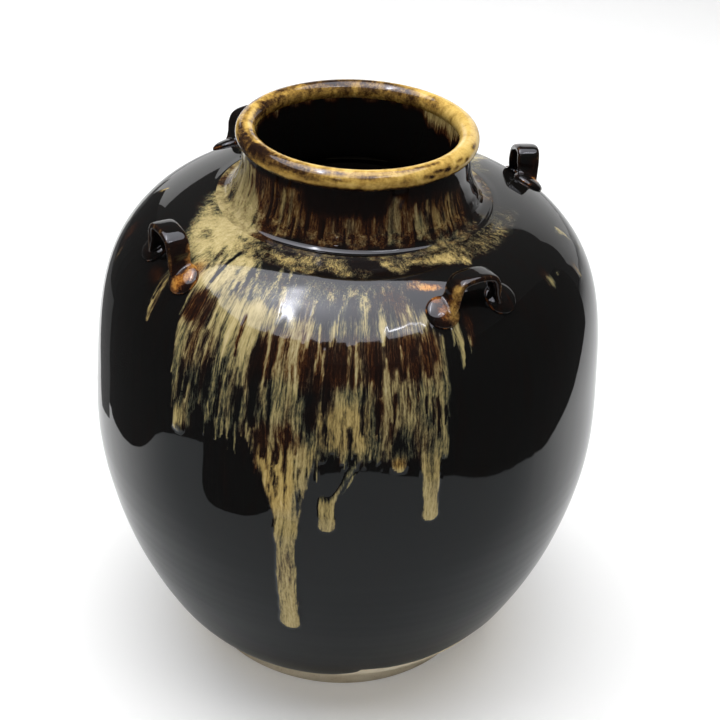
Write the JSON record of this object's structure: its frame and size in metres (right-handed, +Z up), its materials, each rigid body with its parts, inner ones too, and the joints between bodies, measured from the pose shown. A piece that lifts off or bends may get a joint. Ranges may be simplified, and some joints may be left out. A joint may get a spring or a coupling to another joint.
{
  "type": "tea jar",
  "caption": "Round-shouldered glazed stoneware storage jar with a short neck, a rolled rim and strap lugs on the shoulder.",
  "frame": {"origin": "middle of the base, at the level the foot stands on", "axes": "+Z up along the axis of the jar, front of the jar (the side with the glaze pour) towards -Y"},
  "size_m": [0.24, 0.2417, 0.2683],
  "materials": {
    "bare_clay": "matte unglazed stoneware",
    "black_glaze": "gloss",
    "rust_glaze": "gloss",
    "amber_glaze": "gloss",
    "ash_glaze": "gloss, streaked"
  },
  "bodies": {
    "root": {"foot_base": "bare_clay", "body_wall": "black_glaze", "neck_collar": "rust_glaze", "rolled_rim": "amber_glaze", "lug_front_right": "black_glaze", "lug_front_left": "black_glaze", "lug_back_right": "black_glaze", "lug_back_left": "black_glaze", "ash_glaze_pour": "ash_glaze"}
  },
  "joints": []
}
